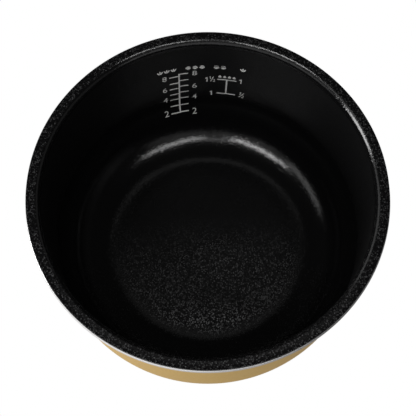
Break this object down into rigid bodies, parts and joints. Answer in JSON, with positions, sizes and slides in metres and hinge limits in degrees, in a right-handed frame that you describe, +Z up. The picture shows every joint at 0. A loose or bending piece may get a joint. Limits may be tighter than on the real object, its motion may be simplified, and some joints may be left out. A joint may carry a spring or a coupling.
{
  "type": "rice cooker inner pot",
  "caption": "Round metal rice cooker inner pot with a flat flange, a rounded base corner, a black non-stick lining, a gold outer coat and printed water scales.",
  "frame": {"origin": "centre of the base's underside, on the surface that the pot stands on", "axes": "+Z up along the pot's axis out of its mouth; +Y towards the wall that carries the printed scales; -Y towards the cook who reads them"},
  "size_m": [0.2444, 0.2444, 0.124],
  "materials": {
    "bare_aluminium": "satin",
    "black_nonstick": "satin",
    "champagne_lacquer": "satin",
    "scale_ink": "matte"
  },
  "bodies": {
    "root": {"pot_shell": "bare_aluminium", "nonstick_lining": "black_nonstick", "outer_coat": "champagne_lacquer", "rice_scale": "scale_ink", "porridge_scale": "scale_ink"}
  },
  "joints": []
}
